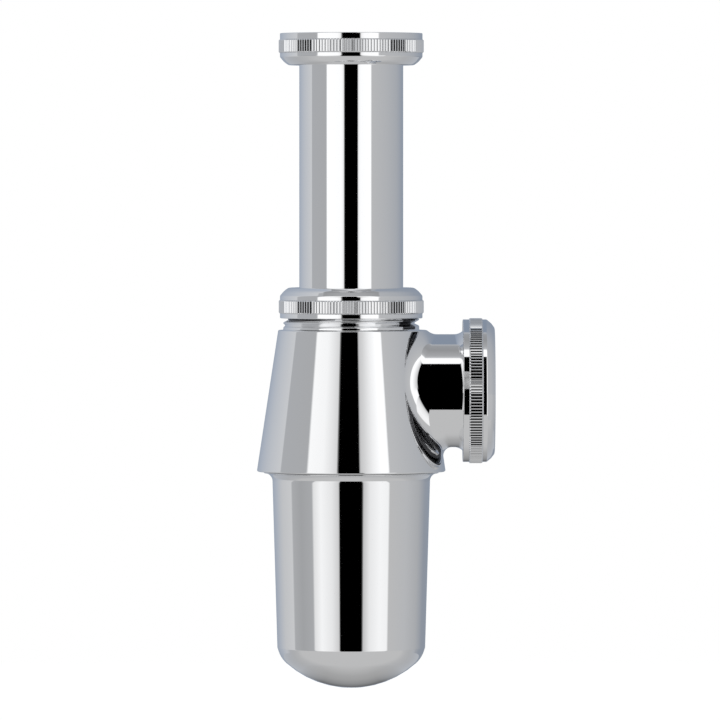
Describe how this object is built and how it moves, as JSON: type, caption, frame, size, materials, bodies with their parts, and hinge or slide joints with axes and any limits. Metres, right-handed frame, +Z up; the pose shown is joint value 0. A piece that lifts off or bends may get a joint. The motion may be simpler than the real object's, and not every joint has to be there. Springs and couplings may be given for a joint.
{
  "type": "basin bottle trap",
  "caption": "Chromed brass bottle trap for a basin: adjustable inlet tube with union nut, conical body with side branch, compression nuts and unscrewing cup.",
  "frame": {"origin": "centre of the inlet washer's top face inside the inlet nut, where the end of the basin waste comes to rest", "axes": "+Z up along the inlet tube and cup, out of the inlet nut's mouth; +X along the side branch, out of the outlet"},
  "size_m": [0.0732, 0.058, 0.2017],
  "materials": {
    "chrome": "polished chrome plate on brass",
    "rubber": "matt black rubber",
    "white_plastic": "natural white polypropylene"
  },
  "bodies": {
    "inlet_tube": {"inlet_tube": "chrome", "inlet_washer": "rubber"},
    "inlet_nut": {"inlet_nut": "chrome"},
    "neck_seal": {"neck_seal": "rubber"},
    "trap_body": {"trap_body": "chrome", "dip_tube": "white_plastic", "outlet_seal": "rubber"},
    "neck_slip_ring": {"neck_slip_ring": "white_plastic"},
    "neck_nut": {"neck_nut": "chrome"},
    "outlet_slip_ring": {"outlet_slip_ring": "white_plastic"},
    "outlet_nut": {"outlet_nut": "chrome"},
    "cup_gasket": {"cup_gasket": "rubber"},
    "cup": {"cup": "chrome"}
  },
  "joints": [
    {"name": "inlet_nut_spin", "type": "hinge", "parent": "inlet_tube", "child": "inlet_nut", "pos_m": [0, 0, 0], "axis": [0, 0, 1], "continuous": true},
    {"name": "tube_slide", "type": "slide", "parent": "inlet_tube", "child": "neck_seal", "axis": [0, 0, 1], "range_m": [-0.018, 0.06]},
    {"name": "body_swivel", "type": "hinge", "parent": "neck_seal", "child": "trap_body", "pos_m": [0, 0, 0], "axis": [0, 0, 1], "continuous": true},
    {"name": "neck_nut_rise", "type": "slide", "parent": "trap_body", "child": "neck_slip_ring", "axis": [0, 0, 1], "range_m": [0, 0.00462]},
    {"name": "neck_nut_turn", "type": "hinge", "parent": "neck_slip_ring", "child": "neck_nut", "pos_m": [0, 0, 0], "axis": [0, 0, 1], "range_deg": [0, 720]},
    {"name": "outlet_nut_travel", "type": "slide", "parent": "trap_body", "child": "outlet_slip_ring", "axis": [1, 0, 0], "range_m": [0, 0.00462]},
    {"name": "outlet_nut_turn", "type": "hinge", "parent": "outlet_slip_ring", "child": "outlet_nut", "pos_m": [0, 0, -0.105], "axis": [1, 0, 0], "range_deg": [0, 720]},
    {"name": "cup_drop", "type": "slide", "parent": "trap_body", "child": "cup_gasket", "axis": [0, 0, -1], "range_m": [0, 0.006]},
    {"name": "cup_turn", "type": "hinge", "parent": "cup_gasket", "child": "cup", "pos_m": [0, 0, 0], "axis": [0, 0, -1], "range_deg": [0, 1080]}
  ],
  "couplings": [
    {"joint": "neck_nut_rise", "follows": "neck_nut_turn", "m_per_rad": 0.00036749},
    {"joint": "outlet_nut_travel", "follows": "outlet_nut_turn", "m_per_rad": 0.00036749},
    {"joint": "cup_drop", "follows": "cup_turn", "m_per_rad": 0.00031831}
  ]
}
